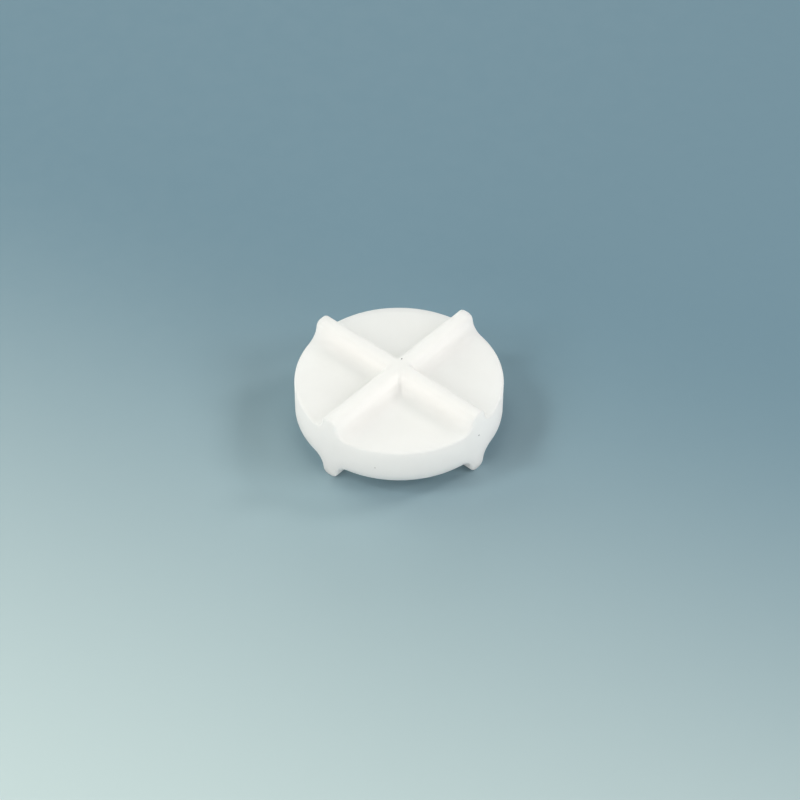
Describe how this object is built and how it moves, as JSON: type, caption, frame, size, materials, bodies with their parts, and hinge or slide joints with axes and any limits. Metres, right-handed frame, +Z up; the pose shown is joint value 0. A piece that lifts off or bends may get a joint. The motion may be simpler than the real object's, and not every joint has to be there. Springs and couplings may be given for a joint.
{
  "type": "magnetic stir bar",
  "caption": "Round white fluoropolymer stir bar with a raised cross of rounded ribs on both faces, sealed round a bar magnet so that a stirrer plate can spin it.",
  "frame": {"origin": "on the spin axis, in the plane that the lower cross's crests stand on", "axes": "+Z up along the spin axis; the ribs of both crosses run along X and Y, and the magnet lies along X"},
  "size_m": [0.038, 0.038, 0.014],
  "materials": {
    "white_fluoropolymer": "smooth, waxy satin white, faintly translucent",
    "magnet_alloy": "ground bare metal"
  },
  "bodies": {
    "root": {"jacket": "white_fluoropolymer", "bar_magnet": "magnet_alloy"}
  },
  "joints": []
}
